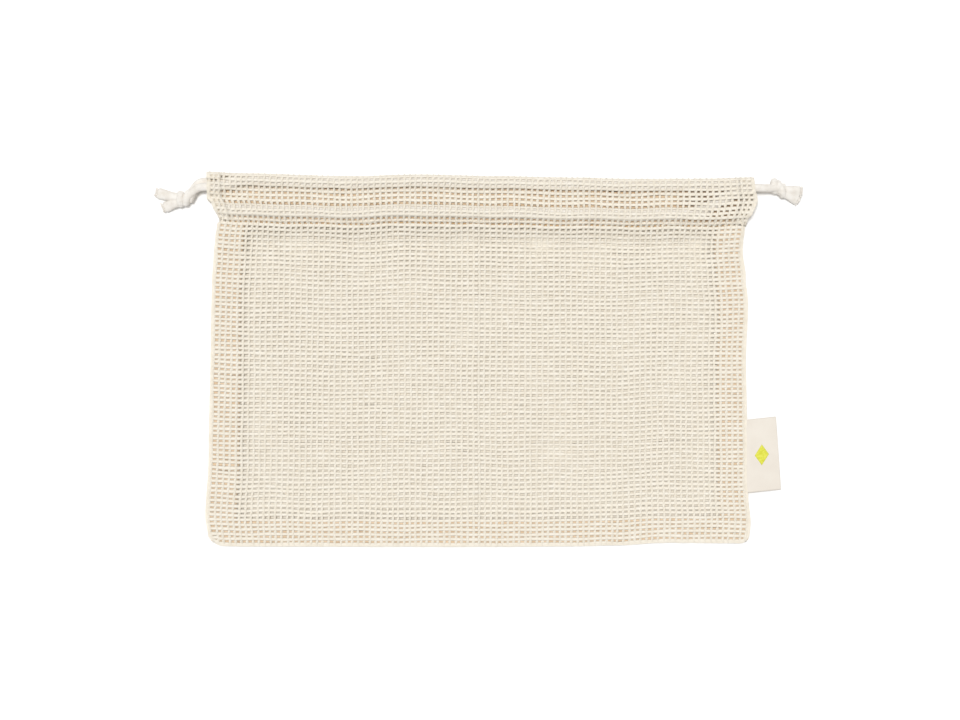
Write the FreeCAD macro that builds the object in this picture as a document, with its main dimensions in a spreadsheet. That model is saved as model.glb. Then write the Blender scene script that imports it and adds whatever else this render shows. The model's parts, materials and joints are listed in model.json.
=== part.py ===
# Mesh laundry bag: a flat cotton net bag, wider than tall, closed by two drawstrings that run in
# a casing along the mouth. It lies on its back face. X runs along the mouth, +Y points from the
# bottom seam to the mouth, +Z is up, and the origin is the middle of the face it rests on.

import FreeCAD, Part
import math
import os
import Sketcher
from FreeCAD import Placement, Rotation, Vector

doc = FreeCAD.newDocument("mesh_laundry_bag")

# Driving dimensions, in millimetres and degrees
DIMENSIONS = {
    "bag_width": 300,
    "bag_height": 208,
    "corner_radius": 9,
    "neck_inset": 3,
    "panel_thick": 1.2,
    "seam_thick": 4.4,
    "side_seam_width": 16,
    "bottom_seam_width": 15,
    "cloth_gap": 0.2,
    "ramp_length": 22,
    "casing_height": 26.5,
    "casing_thick": 6.2,
    "casing_wall": 1,
    "casing_gap": 0.3,
    "casing_fold_radius": 3,
    "flange_width": 2.5,
    "flange_thick": 2,
    "shoulder_width": 5.5,
    "hem_length": 6,
    "hem_flare": 2,
    "turn_inset": 4,
    "stitch_inset": 1,
    "stitch_width": 0.8,
    "stitch_thick": 0.5,
    "cord_diameter": 4,
    "lane_upper": 100.5,
    "lane_lower": 85.2,
    "lane_turn": 91,
    "lane_exit": 96.3,
    "bend_start": 112,
    "knot_radius": 5.2,
    "knot_height": 9.2,
    "knot_flat": 4,
    "knot_floor_gap": 0.3,
    "knot_clearance": 0.25,
    "left_knot_x": 163.5,
    "left_knot_y": 90.7,
    "right_knot_x": 166,
    "right_knot_y": 96.3,
    "label_top_y": -31.8,
    "label_bottom_y": -73.6,
    "label_reach_top": 15,
    "label_reach_bottom": 17.6,
    "label_thick": 1,
    "label_bead_radius": 0.6,
    "print_thick": 0.15,
    "print_half_width": 4,
    "print_half_height": 6,
}

sheet = doc.addObject("Spreadsheet::Sheet", "Dimensions")
for row, (word, number) in enumerate(DIMENSIONS.items(), start=1):
    sheet.set(f"A{row}", word)
    sheet.set(f"B{row}", str(number))
    sheet.setAlias(f"B{row}", word)
doc.recompute()

# Places that several pieces share, written with the sheet's words
HALF_WIDTH = "Dimensions.bag_width / 2"
HALF_NECK = "(Dimensions.bag_width / 2 - Dimensions.neck_inset)"
TOP = "Dimensions.bag_height / 2"
CASING_FOOT = "(Dimensions.bag_height / 2 - Dimensions.casing_height)"
RAMP_FOOT = f"({CASING_FOOT} - Dimensions.ramp_length)"
SEAM_TOP = "(Dimensions.panel_thick + Dimensions.seam_thick)"
FRONT_BASE = "(Dimensions.casing_thick + Dimensions.casing_gap)"
CASING_END = "(Dimensions.bag_width / 2 - Dimensions.hem_length)"
HEM_END = "(Dimensions.bag_width / 2 + Dimensions.hem_flare)"
LABEL_HINGE_X = "(Dimensions.bag_width / 2 + Dimensions.label_bead_radius + 0.05)"
LABEL_HINGE_Z = f"(({SEAM_TOP} + Dimensions.panel_thick) / 2)"
ALONG = Vector(1, 0, 0)
UPRIGHT = Vector(0, 0, 1)


def size(word):
    """A driving dimension, as a number."""
    return float(sheet.get(word))


def new_body(name):
    body = doc.addObject("PartDesign::Body", name)
    body.Label = name
    return body


def new_sketch(body, role, name, height="0"):
    """A sketch on one of the body's own origin planes, moved along the plane's normal by height."""
    sketch = body.newObject("Sketcher::SketchObject", f"{body.Name}_{name}")
    plane = next(f for f in body.Origin.OriginFeatures if f.Role == role)
    sketch.AttachmentSupport = [(plane, "")]
    sketch.MapMode = "FlatFace"
    sketch.setExpression("AttachmentOffset.Base.z", height)
    return sketch


def draw_polygon(sketch, corners):
    """A closed loop of straight lines. corners are pairs of expressions, from the sketch's origin."""
    count = len(corners)
    spread = [Vector(math.cos(2 * math.pi * n / count), math.sin(2 * math.pi * n / count), 0) * 50
              for n in range(count)]
    first = sketch.GeometryCount
    for n in range(count):
        sketch.addGeometry(Part.LineSegment(spread[n], spread[(n + 1) % count]))
    for n in range(count):
        sketch.addConstraint(Sketcher.Constraint("Coincident", first + n, 2, first + (n + 1) % count, 1))
    for n, (across, up) in enumerate(corners):
        for kind, place in (("DistanceX", across), ("DistanceY", up)):
            index = sketch.addConstraint(Sketcher.Constraint(kind, -1, 1, first + n, 1, 1.0))
            sketch.setExpression(f"Constraints[{index}]", place)


def pad(body, sketch, length, midplane=False):
    feature = body.newObject("PartDesign::Pad", f"{sketch.Name}_pad")
    feature.Profile = sketch
    feature.Midplane = midplane
    feature.setExpression("Length", length)
    return feature


def pocket_through(body, sketch):
    """Cut the sketch through the body, both ways."""
    feature = body.newObject("PartDesign::Pocket", f"{sketch.Name}_pocket")
    feature.Profile = sketch
    feature.Type = "ThroughAll"
    feature.Midplane = True
    return feature


def round_edges(body, feature, name, radius, wanted, direction):
    """Fillet the edges that run along direction and have both ends where wanted(point) is true."""
    doc.recompute()
    chosen = [f"Edge{n}" for n, edge in enumerate(feature.Shape.Edges, start=1)
              if all(wanted(v.Point) for v in edge.Vertexes)
              and abs(edge.tangentAt(edge.FirstParameter).dot(direction)) > 0.99]
    fillet = body.newObject("PartDesign::Fillet", f"{body.Name}_{name}")
    fillet.Base = (feature, chosen)
    fillet.setExpression("Radius", radius)
    return fillet


def at_bottom_corner(point):
    """True at the two bottom corners of the bag's outline."""
    beside = abs(abs(point.x) - size("bag_width") / 2) < 0.01
    return beside and abs(point.y + size("bag_height") / 2) < 0.01


def bag_outline():
    """The bag's plan below the casing: straight sides that draw in a little towards the neck."""
    return [(f"-{HALF_WIDTH}", f"-{TOP}"), (HALF_WIDTH, f"-{TOP}"),
            (HALF_NECK, CASING_FOOT), (f"-{HALF_NECK}", CASING_FOOT)]


def cut_to_ramp(body, name, level, raised, beyond):
    """Cut away everything past the surface that is level below the ramp and raised at its head."""
    sketch = new_sketch(body, "YZ_Plane", name)
    draw_polygon(sketch, [(f"-{TOP} - 5", level), (RAMP_FOOT, level), (CASING_FOOT, raised),
                          (f"{TOP} + 5", raised), (f"{TOP} + 5", beyond),
                          (f"-{TOP} - 5", beyond)])
    return pocket_through(body, sketch)


def make_back_panel():
    body = new_body("back_panel")
    plan = new_sketch(body, "XY_Plane", "plan")
    draw_polygon(plan, bag_outline())
    block = pad(body, plan, "Dimensions.panel_thick")
    round_edges(body, block, "corners", "Dimensions.corner_radius", at_bottom_corner, UPRIGHT)
    return body


def make_front_panel():
    """Lies on the seams and climbs the last stretch to the foot of the front casing."""
    body = new_body("front_panel")
    plan = new_sketch(body, "XY_Plane", "plan", SEAM_TOP)
    draw_polygon(plan, bag_outline())
    block = pad(body, plan, f"{FRONT_BASE} + Dimensions.panel_thick - {SEAM_TOP}")
    round_edges(body, block, "corners", "Dimensions.corner_radius", at_bottom_corner, UPRIGHT)
    cut_to_ramp(body, "top_face", f"{SEAM_TOP} + Dimensions.panel_thick",
                f"{FRONT_BASE} + Dimensions.panel_thick", f"{FRONT_BASE} + 20")
    cut_to_ramp(body, "under_face", SEAM_TOP, FRONT_BASE, "-5")
    return body


def make_side_seam(name, side):
    """Folded seam allowance between the panels. side is -1 on the left and 1 on the right."""
    body = new_body(name)
    plan = new_sketch(body, "XY_Plane", "plan", "Dimensions.panel_thick")
    inner_low = f"{side} * ({HALF_WIDTH} - Dimensions.side_seam_width)"
    draw_polygon(plan, [(f"{side} * {HALF_WIDTH}", f"-{TOP}"), (inner_low, f"-{TOP}"),
                        (inner_low, CASING_FOOT), (f"{side} * {HALF_NECK}", CASING_FOOT)])
    block = pad(body, plan, f"{FRONT_BASE} - Dimensions.panel_thick")
    round_edges(body, block, "corner", "Dimensions.corner_radius", at_bottom_corner, UPRIGHT)
    cut_to_ramp(body, "top_face", SEAM_TOP, FRONT_BASE, f"{FRONT_BASE} + 20")
    return body


def make_bottom_seam():
    body = new_body("bottom_seam")
    plan = new_sketch(body, "XY_Plane", "plan", "Dimensions.panel_thick")
    reach = f"({HALF_WIDTH} - Dimensions.side_seam_width - Dimensions.cloth_gap)"
    inner = f"-{TOP} + Dimensions.bottom_seam_width"
    draw_polygon(plan, [(f"-{reach}", f"-{TOP}"), (reach, f"-{TOP}"), (reach, inner),
                        (f"-{reach}", inner)])
    pad(body, plan, "Dimensions.seam_thick")
    return body


def casing_outline(base):
    """Cross-section of a casing: a stitched flange, then a tube that ends in the mouth's fold."""
    crest = f"{base} + Dimensions.casing_thick"
    step = f"{base} + Dimensions.flange_thick"
    return [(CASING_FOOT, base), (TOP, base), (TOP, crest),
            (f"{CASING_FOOT} + Dimensions.shoulder_width", crest),
            (f"{CASING_FOOT} + Dimensions.flange_width", step), (CASING_FOOT, step)]


def channel_outline(base):
    """Cross-section of the hollow that the cords run in."""
    low = f"{base} + Dimensions.casing_wall"
    high = f"{base} + Dimensions.casing_thick - Dimensions.casing_wall"
    far = f"{TOP} - Dimensions.casing_wall"
    near = f"{CASING_FOOT} + Dimensions.flange_width + Dimensions.casing_wall"
    return [(near, low), (far, low), (far, high),
            (f"{CASING_FOOT} + Dimensions.shoulder_width + Dimensions.casing_wall", high)]


def at_mouth_fold(point):
    """True where the casing's cloth turns over at the mouth."""
    return abs(point.y - size("bag_height") / 2) < 0.01


def casing_length(name, base, middle, length):
    """A stretch of casing around middle, rounded at the fold and hollow all the way through."""
    body = new_body(name)
    section = new_sketch(body, "YZ_Plane", "section", middle)
    draw_polygon(section, casing_outline(base))
    block = pad(body, section, length, midplane=True)
    round_edges(body, block, "fold", "Dimensions.casing_fold_radius", at_mouth_fold, ALONG)
    channel = new_sketch(body, "YZ_Plane", "channel")
    draw_polygon(channel, channel_outline(base))
    pocket_through(body, channel)
    return body


def make_casing(name, base):
    return casing_length(name, base, "0", f"2 * {CASING_END} - 2 * Dimensions.cloth_gap")


def make_casing_hem(name, base, side, inner_face):
    """The casing's hemmed end. Its inner wall is open, so that a cord can turn from one casing
    into the other. inner_face is the height of that wall's middle."""
    middle = f"{side} * ({CASING_END} + {HEM_END}) / 2"
    body = casing_length(name, base, middle, f"{HEM_END} - {CASING_END}")
    window = new_sketch(body, "XY_Plane", "window", inner_face)
    far = f"{TOP} - Dimensions.casing_wall"
    near = f"{CASING_FOOT} + Dimensions.shoulder_width"
    start = f"{side} * ({CASING_END} + Dimensions.cloth_gap)"
    beyond = f"{side} * ({HEM_END} + 1)"
    draw_polygon(window, [(start, near), (beyond, near), (beyond, far), (start, far)])
    opening = body.newObject("PartDesign::Pocket", f"{name}_window_pocket")
    opening.Profile = window
    opening.Midplane = True
    opening.setExpression("Length", "2 * Dimensions.casing_wall")
    return body


def make_stitching(name, base):
    """One row of lockstitch along the casing's flange."""
    row = doc.addObject("Part::Box", name)
    row.Label = name
    row.setExpression("Length", f"2 * {CASING_END} - 2 * Dimensions.cloth_gap")
    row.setExpression("Width", "Dimensions.stitch_width")
    row.setExpression("Height", "Dimensions.stitch_thick")
    row.setExpression("Placement.Base.x", f"-{CASING_END} + Dimensions.cloth_gap")
    row.setExpression("Placement.Base.y", f"{CASING_FOOT} + Dimensions.stitch_inset")
    row.setExpression("Placement.Base.z", f"{base} + Dimensions.flange_thick")
    return row


def bend_between(start, finish, leaving, arriving):
    """A smooth bend. leaving and arriving are the directions it has at its ends, and their
    lengths say how long it keeps to them."""
    curve = Part.BezierCurve()
    curve.setPoles([start, start + leaving, finish - arriving, finish])
    return curve.toShape()


def cord_along(edges):
    """A round cord swept along the edges."""
    first = edges[0]
    start = first.valueAt(first.FirstParameter)
    circle = Part.Circle(start, first.tangentAt(first.FirstParameter), size("cord_diameter") / 2)
    return Part.Wire(edges).makePipeShell([Part.Wire(circle.toShape())], True)


def cord_levels():
    """Heights of a cord's two runs: in the front casing, in the back casing and where they turn."""
    back = size("casing_thick") / 2
    front = back + size("casing_thick") + size("casing_gap")
    return front, back, (front + back) / 2


def knot_place(side):
    """Middle of a knot. It lies just clear of the surface that the bag rests on."""
    word = "left" if side < 0 else "right"
    height = size("knot_height") / 2 + size("knot_floor_gap")
    return Vector(side * size(f"{word}_knot_x"), size(f"{word}_knot_y"), height)


def cord_run(side, height, knot_lift, exit_y, lane, turn_lane):
    """One of a cord's two runs through a casing, from its knot to the far end of the mouth."""
    reach = size("bend_start")
    out = side * (size("bag_width") / 2 + size("hem_flare"))
    far = -side * (size("bag_width") / 2 - size("turn_inset"))
    inward = Vector(-side, 0, 0)
    knot = knot_place(side) + Vector(0, 0, knot_lift)
    mouth = Vector(out, exit_y, height)
    near_bend = Vector(side * reach, lane, height)
    far_bend = Vector(-side * reach, lane, height)
    turn = Vector(far, turn_lane, height)
    exit_bend, lane_bend = inward * 5, inward * 14
    return [bend_between(knot, mouth, exit_bend, exit_bend),
            bend_between(mouth, near_bend, lane_bend, lane_bend),
            Part.makeLine(near_bend, far_bend),
            bend_between(far_bend, turn, lane_bend, lane_bend)]


def make_cord(name, side, exits, lane, turn_lane):
    """One drawstring: out of its knot, through the front casing, round the far end of the mouth
    and back through the back casing to the knot. exits are the Y places where the two runs leave
    the casing on the knot's side, lane is where they lie inside and turn_lane where they turn."""
    front, back, middle = cord_levels()
    knot = knot_place(side)
    lift = size("cord_diameter") / 2 + 0.15
    front_run = cord_run(side, front, lift, exits[0], lane, turn_lane)
    back_run = cord_run(side, back, -lift, exits[1], lane, turn_lane)
    far = -side * (size("bag_width") / 2 - size("turn_inset"))
    turn = Part.Arc(Vector(far, turn_lane, front),
                    Vector(far - side * (front - back) / 2, turn_lane, middle),
                    Vector(far, turn_lane, back))
    cord = cord_along(front_run + [turn.toShape()] + back_run[::-1])
    clear = size("knot_radius") + size("knot_clearance")
    tall = 4 * size("knot_height")
    piece = doc.addObject("Part::Feature", name)
    piece.Label = name
    piece.Shape = cord.cut(Part.makeCylinder(clear, tall, knot - Vector(0, 0, tall / 2)))
    return piece


def make_knot(name, side, tails):
    """The knot as a round barrel, with the cord's two loose tails. tails are (angle, reach, lift):
    the direction from +X, the length and the height over the barrel's middle. The piece turns
    about its own upright middle line."""
    body = new_body(name)
    body.Placement.Base = knot_place(side)
    section = new_sketch(body, "XZ_Plane", "section")
    half = "Dimensions.knot_height / 2"
    flat = "Dimensions.knot_flat / 2"
    radius = "Dimensions.knot_radius"
    draw_polygon(section, [("0", f"-{half}"), (f"{radius} * 0.55", f"-{half}"),
                           (radius, f"-{flat}"), (radius, flat), (f"{radius} * 0.55", half),
                           ("0", half)])
    barrel = body.newObject("PartDesign::Revolution", f"{name}_barrel")
    barrel.Profile = section
    barrel.ReferenceAxis = (section, ["V_Axis"])
    barrel.Angle = 360
    for number, (angle, reach, lift) in enumerate(tails, start=1):
        tail = body.newObject("PartDesign::AdditiveCylinder", f"{name}_tail_{number}")
        tail.setExpression("Radius", "Dimensions.cord_diameter / 2")
        tail.Height = reach
        tail.Placement = Placement(Vector(0, 0, lift), Rotation(UPRIGHT, angle)
                                   * Rotation(Vector(0, 1, 0), 90))
    return body


def make_label():
    """A folded tape held in the right side seam. Its bead is the line that it hinges on."""
    body = new_body("label")
    plan = new_sketch(body, "XY_Plane", "plan", f"{LABEL_HINGE_Z} - Dimensions.label_thick / 2")
    draw_polygon(plan, [(LABEL_HINGE_X, "Dimensions.label_bottom_y"),
                        (f"{LABEL_HINGE_X} + Dimensions.label_reach_bottom", "Dimensions.label_bottom_y"),
                        (f"{LABEL_HINGE_X} + Dimensions.label_reach_top", "Dimensions.label_top_y"),
                        (LABEL_HINGE_X, "Dimensions.label_top_y")])
    pad(body, plan, "Dimensions.label_thick")
    bead = body.newObject("PartDesign::AdditiveCylinder", "label_bead")
    bead.setExpression("Radius", "Dimensions.label_bead_radius")
    bead.setExpression("Height", "Dimensions.label_top_y - Dimensions.label_bottom_y")
    bead.Placement.Rotation = Rotation(Vector(1, 0, 0), -90)
    bead.setExpression("Placement.Base.x", LABEL_HINGE_X)
    bead.setExpression("Placement.Base.y", "Dimensions.label_bottom_y")
    bead.setExpression("Placement.Base.z", LABEL_HINGE_Z)
    return body


def make_label_print():
    """A plain diamond printed on the label."""
    body = new_body("label_print")
    plan = new_sketch(body, "XY_Plane", "plan", f"{LABEL_HINGE_Z} + Dimensions.label_thick / 2")
    across = f"{LABEL_HINGE_X} + Dimensions.label_reach_top / 2"
    up = "(Dimensions.label_top_y + Dimensions.label_bottom_y) / 2"
    draw_polygon(plan, [(f"{across} - Dimensions.print_half_width", up),
                        (across, f"{up} - Dimensions.print_half_height"),
                        (f"{across} + Dimensions.print_half_width", up),
                        (across, f"{up} + Dimensions.print_half_height")])
    pad(body, plan, "Dimensions.print_thick")
    return body


BACK_WALL = "(Dimensions.casing_thick - Dimensions.casing_wall / 2)"
FRONT_WALL = f"({FRONT_BASE} + Dimensions.casing_wall / 2)"
upper, lower = size("lane_upper"), size("lane_lower")
turn_lane, exit_lane = size("lane_turn"), size("lane_exit")

pieces = [
    make_back_panel(),
    make_front_panel(),
    make_side_seam("left_side_seam", -1),
    make_side_seam("right_side_seam", 1),
    make_bottom_seam(),
    make_casing("back_casing", "0"),
    make_casing("front_casing", FRONT_BASE),
    make_casing_hem("back_casing_left_hem", "0", -1, BACK_WALL),
    make_casing_hem("back_casing_right_hem", "0", 1, BACK_WALL),
    make_casing_hem("front_casing_left_hem", FRONT_BASE, -1, FRONT_WALL),
    make_casing_hem("front_casing_right_hem", FRONT_BASE, 1, FRONT_WALL),
    make_stitching("back_casing_stitching", "0"),
    make_stitching("front_casing_stitching", FRONT_BASE),
    make_cord("left_cord", -1, (upper, exit_lane), upper, upper),
    make_cord("right_cord", 1, (exit_lane, exit_lane), lower, turn_lane),
    make_knot("left_knot", -1, [(170, 18.8, 0.9), (204, 15, -0.9)]),
    make_knot("right_knot", 1, [(-4, 16.5, 0.9), (-36, 16, -0.9)]),
    make_label(),
    make_label_print(),
]
doc.recompute()

for item in doc.Objects:
    if "Invalid" in item.State or "Error" in item.State:
        raise RuntimeError(f"{item.Name} did not rebuild: {item.State}")
for piece in pieces:
    if piece.Shape.isNull() or not piece.Shape.isValid():
        raise RuntimeError(f"{piece.Label} has no valid shape")

os.makedirs("parts", exist_ok=True)
for piece in pieces:
    piece.Shape.exportStep(f"parts/{piece.Label}.step")
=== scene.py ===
import json
import math

import bpy
import numpy as np
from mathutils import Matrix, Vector


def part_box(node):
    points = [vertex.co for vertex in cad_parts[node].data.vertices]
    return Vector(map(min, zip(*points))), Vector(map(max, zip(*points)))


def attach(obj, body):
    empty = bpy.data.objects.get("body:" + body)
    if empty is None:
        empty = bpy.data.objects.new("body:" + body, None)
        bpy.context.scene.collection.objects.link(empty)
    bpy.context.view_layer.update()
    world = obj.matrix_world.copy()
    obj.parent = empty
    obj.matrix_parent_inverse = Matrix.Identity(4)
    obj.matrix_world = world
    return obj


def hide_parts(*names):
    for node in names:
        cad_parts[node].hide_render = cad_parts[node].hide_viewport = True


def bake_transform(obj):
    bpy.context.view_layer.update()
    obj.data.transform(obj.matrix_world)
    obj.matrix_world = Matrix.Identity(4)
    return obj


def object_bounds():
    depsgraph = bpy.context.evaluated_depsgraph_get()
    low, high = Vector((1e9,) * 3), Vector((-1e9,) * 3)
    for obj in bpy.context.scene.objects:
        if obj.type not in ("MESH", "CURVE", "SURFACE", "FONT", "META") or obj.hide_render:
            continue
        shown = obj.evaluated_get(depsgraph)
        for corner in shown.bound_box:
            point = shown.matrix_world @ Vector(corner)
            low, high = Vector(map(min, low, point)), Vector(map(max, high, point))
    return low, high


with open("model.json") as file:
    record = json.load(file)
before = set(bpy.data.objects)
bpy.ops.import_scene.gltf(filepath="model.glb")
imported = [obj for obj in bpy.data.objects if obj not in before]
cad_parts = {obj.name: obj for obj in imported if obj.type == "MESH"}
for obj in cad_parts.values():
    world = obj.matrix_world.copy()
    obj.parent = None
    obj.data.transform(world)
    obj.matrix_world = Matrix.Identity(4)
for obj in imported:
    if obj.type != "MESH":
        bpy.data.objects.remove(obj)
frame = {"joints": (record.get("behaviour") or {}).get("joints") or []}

# A cotton net laundry bag that lies on its back. Every place comes from the CAD boxes: X runs
# along the mouth, +Y points to the mouth and +Z is up. The net is made yarn by yarn. Each cloth
# is a surface in (u, v), with u across the bag and v up the cloth: weft yarns run along u, and
# pairs of warp yarns twist round them along v.

MM = 0.001
cad_low, cad_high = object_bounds()
random = np.random.default_rng(11)

# Places from the frame
panel_low, panel_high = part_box("front_panel")
back_panel_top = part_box("back_panel")[1].z
casing_low, casing_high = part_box("front_casing")
hem_low, hem_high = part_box("front_casing_right_hem")
bottom_low, bottom_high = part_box("bottom_seam")
label_low, label_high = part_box("label")
print_low, print_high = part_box("label_print")
HALF_WIDTH = panel_high.x
BOTTOM = panel_low.y
MOUTH = casing_high.y
FOOT = casing_low.y
CASING_END = hem_low.x
HEM_END = hem_high.x
FRONT_BASE = casing_low.z
CASING_THICK = casing_high.z - casing_low.z
SIDE_STRIP = HALF_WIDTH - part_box("right_side_seam")[0].x
BOTTOM_STRIP = bottom_high.y - BOTTOM
SEAM_MIDDLE = (bottom_low.z + bottom_high.z) / 2
STRIP_TOP = SEAM_MIDDLE + 0.7 * MM

# The net: how many yarns, the distances between them, and half of each yarn's width and height
COLUMNS = 93
ROWS = 69
PITCH_X = 2 * HALF_WIDTH / COLUMNS
PITCH_Y = (FOOT - BOTTOM) / (ROWS - 1)
WEFT_WIDE = 0.9 * MM
WEFT_HIGH = 0.34 * MM
WARP_WIDE = 0.45 * MM
WARP_HIGH = 0.25 * MM
EDGE_YARN = 0.32 * MM
NET_HALF = 0.75 * MM

# The pair of warp yarns: how far each stands off its middle, and how close it lies to the weft
TWIST = 0.43 * MM
NESTLE = 0.9

# How far yarns stray from their straight places, and how much their thickness changes
WEFT_STRAY = 0.13 * MM
WARP_STRAY = 0.15 * MM
WEFT_UNEVEN = 0.1
WARP_UNEVEN = 0.08
EDGE_UNEVEN = 0.12
PLUMP = 0.1

# The cords, round outside the casing and pressed flat inside it
CORD_RADIUS = 2.15 * MM
PRESSED_WIDE = 3.1 * MM
PRESSED_HIGH = 1.75 * MM
BRAID_PITCH = 2.4 * MM
BRAID_DEPTH = 0.05

# The cords' lanes in the casing, the places where they leave it, and where they bend and turn
LANE_UPPER = 100.8 * MM
LANE_LOWER = 83.7 * MM
RIGHT_EXIT = 98.2 * MM
LEFT_EXIT_FRONT = 96 * MM
LEFT_EXIT_BACK = 99.4 * MM
LOWER_BEND = 112 * MM
UPPER_BEND = 130 * MM
TURN = 145 * MM

# The sewn edge of the bag and its corners
RIM = 3.2 * MM
CORNER_LEFT = 7 * MM
CORNER_RIGHT = 4.5 * MM

# How the cloths lie. LAYER is the height of a net's middle over the cloth that it rests on. The
# front cloth sags from its seams, and stays up for a while under the casing.
LAYER = 0.95 * MM
SAG_START = -1.8 * MM
SAG_FULL = 7.2 * MM
SAG_BELOW_CASING = 13 * MM
FRONT_RISE = 22 * MM
BACK_RISE = 16 * MM
BACK_FOOT = 3.4 * MM
GROUND_GAP = 0.05 * MM

# The slack of the cloths: heights of uneven places, and how far they keep from the edges
SAG_UNEVEN = 0.15 * MM
BUCKLE_HIGH = 0.2 * MM
PLEAT_HIGH = 0.25 * MM
PLEAT_STRETCH = 0.25
PLEAT_REACH = 50 * MM
CASING_PLEAT_HIGH = 0.3 * MM
CASING_PLEAT_STRETCH = 0.3
DRIFT_ACROSS = 0.25 * MM
DRIFT_UP = 0.22 * MM
STEADY_SIDE = 20 * MM
STEADY_BOTTOM = 15 * MM
STEADY_MOUTH = 12 * MM

# The casing: a fold at the mouth, and a first and a last row that hold the cloth between them
FOLD_RADIUS = 2.5 * MM
OUTER = MOUTH - FOLD_RADIUS - FOOT
FOLD = math.pi * FOLD_RADIUS
CASING_ROWS = 21
CASING_LENGTH = (2 * OUTER + FOLD) * CASING_ROWS / (CASING_ROWS - 0.5)
OUTER_SLACK = 0.85 * MM
SWELL_PLACE = 90 * MM
SWELL_REACH = 4 * MM
PINCH = 0.5
LINING_DEPTH = 0.9 * MM

# The seams: columns and rows of net in the folded strips, the depths of their layers under the
# front cloth, and the distances of the yarns along the edge from it
STRIP_COLUMNS = 5
STRIP_ROWS = 5
SEAM_DEPTHS = (0.9 * MM, 1.9 * MM)
EDGE_INSETS = np.array([0.1, 0.5, 0.95]) * MM
EDGE_STEP = 1.3 * MM
HEM_STEP = 0.9 * MM

# How far the outline stands out past the straight one, as (place, distance) in millimetres
LEFT_EDGE = ((-104, 0.8), (-98.5, 1.7), (-88, 3.1), (-55, 1.3), (11, 0.1), (42, -0.5), (59, -1.6),
             (68, -2.5), (74.8, -3.6), (78.5, -5.6), (81.8, -4.9), (86.8, -3.3), (90.3, -0.8),
             (104, -0.4))
RIGHT_EDGE = ((-104, 0.9), (-92, 1.8), (-76, 0.4), (-70, -0.2), (-35, -0.2), (0, -0.8), (32, 0.4),
              (49, -1), (62, -2.6), (68.5, -2.4), (73, -1.7), (78, -1.2), (81.5, -1.2),
              (84, 0.1), (87.3, 1.4), (91, 2.3), (94, 2.1), (97, 1.4), (104, 0.8))
TOP_EDGE = ((-152, 0.9), (-136, 0.1), (-69, -1.6), (-36, -0.6), (12, -1.6), (50, -2.3), (87, -3.1),
            (126, -2.9), (152, -2.2))
BOTTOM_EDGE = ((-152, 0.7), (-130, 0.1), (0, 0), (50, 0.2), (76, 0.8), (105, 2.3), (152, 1.9))


def smooth(t):
    """0 below 0, 1 above 1 and an even curve between them."""
    t = np.clip(t, 0, 1)
    return t * t * (3 - 2 * t)


def step(place, start, end):
    """0 before start, 1 past end and an even curve between them."""
    return smooth((place - start) / (end - start))


def mix(a, b, t):
    return a * (1 - t) + b * t


def unit(a):
    return a / np.maximum(np.linalg.norm(a, axis=-1, keepdims=True), 1e-12)


def point(*values):
    return np.array(values, float)


def through(pairs, x):
    """A smooth curve through (place, value) pairs, which are in millimetres."""
    places = np.array([p[0] for p in pairs]) * MM
    values = np.array([p[1] for p in pairs]) * MM
    n = np.clip(np.searchsorted(places, x) - 1, 0, len(places) - 2)
    return mix(values[n], values[n + 1], step(x, places[n], places[n + 1]))


class Waves:
    """Even noise about 1 high: a sum of sine waves in random directions."""

    COUNT = 7

    def __init__(self, length):
        angle = random.uniform(0, 2 * math.pi, self.COUNT)
        number = 2 * math.pi / (length * random.uniform(0.7, 1.6, self.COUNT))
        self.kx = number * np.cos(angle)
        self.ky = number * np.sin(angle)
        self.phase = random.uniform(0, 2 * math.pi, self.COUNT)

    def __call__(self, x, y):
        total = 0
        for kx, ky, phase in zip(self.kx, self.ky, self.phase):
            total = total + np.sin(kx * x + ky * y + phase)
        return total / math.sqrt(self.COUNT)


DRIFT_X = Waves(60 * MM)
DRIFT_Y = Waves(45 * MM)
BUCKLE = Waves(28 * MM)
SAG = Waves(70 * MM)
PLEATS = Waves(13 * MM)


# Surfaces of the cloths

def round_corner(x, y):
    """Rounds the bottom corners of the outline."""
    corner = np.where(x < 0, CORNER_LEFT, CORNER_RIGHT)
    across = np.clip((np.abs(x) - HALF_WIDTH) / corner + 1, 0, None)
    down = np.clip((BOTTOM - y) / corner + 1, 0, None)
    length = np.maximum(np.hypot(across, down), 1e-9)
    shrink = np.where((across > 0) & (down > 0), np.maximum(across, down) / length, 1) - 1
    return x + np.sign(x) * across * shrink * corner, y - down * shrink * corner


def settle(x, y):
    """Moves plan points from the straight outline to the slack one, and lets the rows drift."""
    out = np.where(x < 0, through(LEFT_EDGE, y), through(RIGHT_EDGE, y)) * np.sign(x)
    height = np.clip((y - BOTTOM) / (MOUTH - BOTTOM), 0, 1)
    shift = mix(through(BOTTOM_EDGE, x), through(TOP_EDGE, x), height)
    inside = step(HALF_WIDTH - np.abs(x), 0, STEADY_SIDE)
    away = inside * step(y - BOTTOM, 0, STEADY_BOTTOM) * step(MOUTH - y, 0, STEADY_MOUTH)
    round_x, round_y = round_corner(x, y)
    slack_x = round_x + out * (np.abs(x) / HALF_WIDTH) ** 3 + DRIFT_ACROSS * inside * DRIFT_X(x, y)
    return slack_x, round_y + shift + DRIFT_UP * away * DRIFT_Y(x, y)


def rim(x, y):
    """0 at the bag's sewn edge, rising like a quarter circle to 1 inside it."""
    across = np.clip((np.abs(x) - HALF_WIDTH) / RIM + 1, 0, 1)
    down = np.clip((BOTTOM - y) / RIM + 1, 0, 1)
    return np.sqrt(1 - np.clip(np.hypot(across, down), 0, 1) ** 2)


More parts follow.
